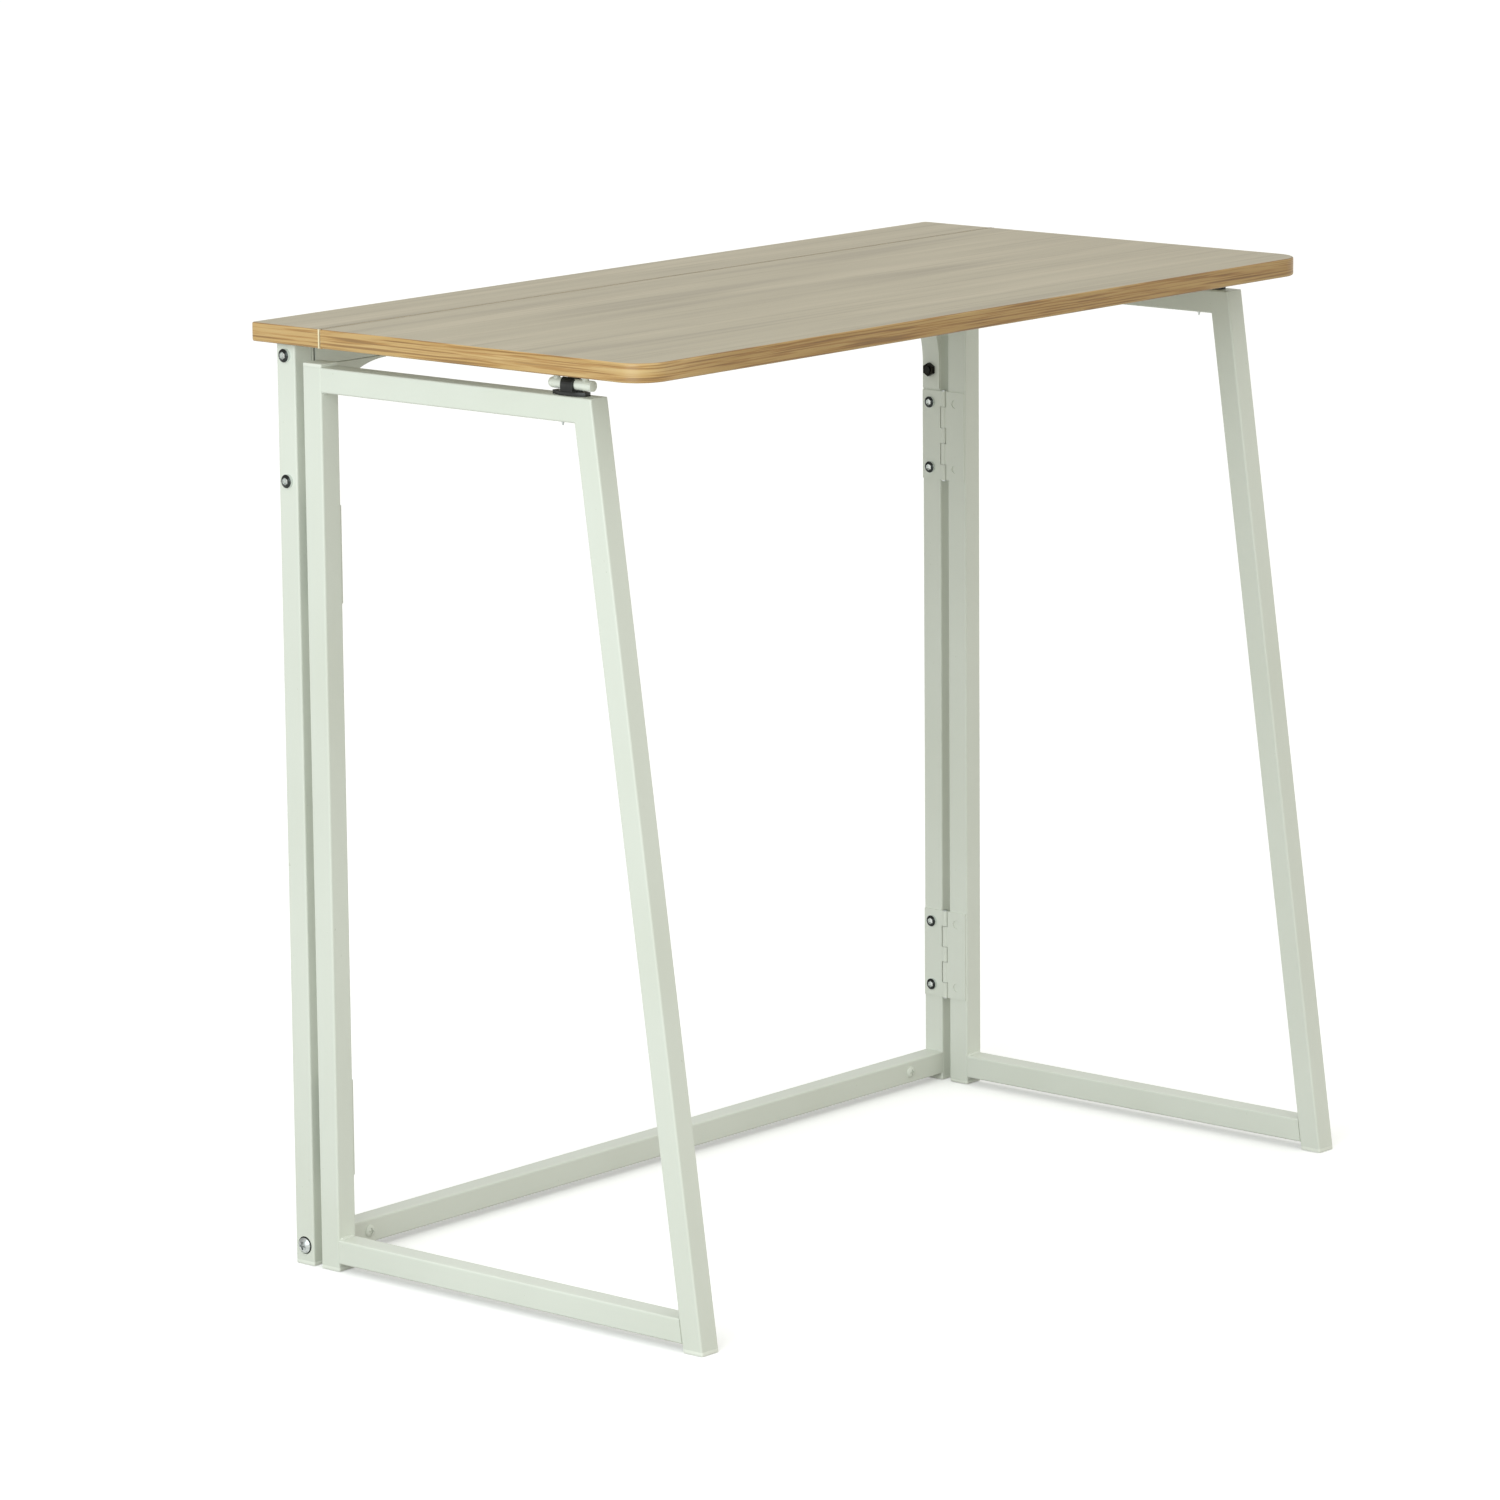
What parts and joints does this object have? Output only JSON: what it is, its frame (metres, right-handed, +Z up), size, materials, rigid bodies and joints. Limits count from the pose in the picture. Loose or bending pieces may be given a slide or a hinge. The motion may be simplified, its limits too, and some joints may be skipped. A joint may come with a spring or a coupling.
{
  "type": "gateleg table",
  "caption": "Folding gateleg table: square-tube back frame with a fixed strip, a hinged leaf, and swinging gates whose snap clips hold the leaf up",
  "frame": {"origin": "on the floor, under the middle of the table's box", "axes": "+X to the right seen from the front, +Y to the back frame, +Z up"},
  "size_m": [0.8, 0.435, 0.73],
  "materials": {
    "laminate_board": "greige wood-grain melamine, fine texture",
    "oak_band": "oak-print ABS edge band, satin",
    "seam_tape": "thin pale edge tape",
    "white_powder_coat": "satin white powder coat",
    "white_plastic": "satin moulded",
    "black_nylon": "moulded glass-filled nylon, satin",
    "dark_nickel": "black nickel plate, polished",
    "zinc_plate": "bright zinc plate",
    "white_screw": "white-painted steel"
  },
  "bodies": {
    "frame": {"strip_board": "laminate_board", "strip_edge_band": "oak_band", "strip_seam_tape": "seam_tape", "strip_screws": "zinc_plate", "left_post": "white_powder_coat", "right_post": "white_powder_coat", "left_post_foot": "white_plastic", "right_post_foot": "white_plastic", "upper_back_rail": "white_powder_coat", "lower_back_rail": "white_powder_coat", "upper_rail_plugs": "black_nylon", "lower_rail_plugs": "black_nylon", "left_corner_bracket": "white_powder_coat", "right_corner_bracket": "white_powder_coat", "upper_frame_bolts": "dark_nickel", "bracket_nuts": "dark_nickel", "lower_frame_bolts": "zinc_plate", "lower_bolt_sleeves": "zinc_plate", "lower_rail_screws": "white_screw", "left_gate_hinge_post_leaves": "white_powder_coat", "right_gate_hinge_post_leaves": "white_powder_coat", "left_gate_hinge_pins": "zinc_plate", "right_gate_hinge_pins": "zinc_plate", "left_gate_hinge_screws": "dark_nickel", "right_gate_hinge_screws": "dark_nickel", "leaf_hinge_strip_leaves": "zinc_plate", "leaf_hinge_pins": "zinc_plate", "leaf_hinge_strip_screws": "zinc_plate"},
    "left_gate": {"left_gate_stile": "white_powder_coat", "left_gate_top_rail": "white_powder_coat", "left_gate_bottom_rail": "white_powder_coat", "left_gate_leg": "white_powder_coat", "left_stile_cap": "white_plastic", "left_stile_foot": "white_plastic", "left_leg_foot": "white_plastic", "left_gate_hinge_gate_leaves": "white_powder_coat", "left_clip": "black_nylon", "left_clip_screws": "zinc_plate"},
    "right_gate": {"right_gate_stile": "white_powder_coat", "right_gate_top_rail": "white_powder_coat", "right_gate_bottom_rail": "white_powder_coat", "right_gate_leg": "white_powder_coat", "right_stile_cap": "white_plastic", "right_stile_foot": "white_plastic", "right_leg_foot": "white_plastic", "right_gate_hinge_gate_leaves": "white_powder_coat", "right_clip": "black_nylon", "right_clip_screws": "zinc_plate"},
    "leaf": {"leaf_board": "laminate_board", "leaf_edge_band": "oak_band", "leaf_seam_tape": "oak_band", "leaf_hinge_leaf_leaves": "zinc_plate", "leaf_hinge_leaf_screws": "zinc_plate", "left_striker": "white_plastic", "right_striker": "white_plastic", "striker_screws": "zinc_plate"}
  },
  "joints": [
    {"name": "left_gate_swing", "type": "hinge", "parent": "frame", "child": "left_gate", "pos_m": [-0.373, 0.1755, 0.35], "axis": [0, 0, 1], "range_deg": [0, 90], "deforming": ["left_clip"]},
    {"name": "right_gate_swing", "type": "hinge", "parent": "frame", "child": "right_gate", "pos_m": [0.373, 0.1755, 0.35], "axis": [0, 0, -1], "range_deg": [0, 86.5], "deforming": ["right_clip"]},
    {"name": "leaf_lift", "type": "hinge", "parent": "frame", "child": "leaf", "pos_m": [0, 0.1449, 0.713], "axis": [-1, 0, 0], "range_deg": [0, 3.5], "deforming": ["left_clip", "right_clip"]}
  ]
}
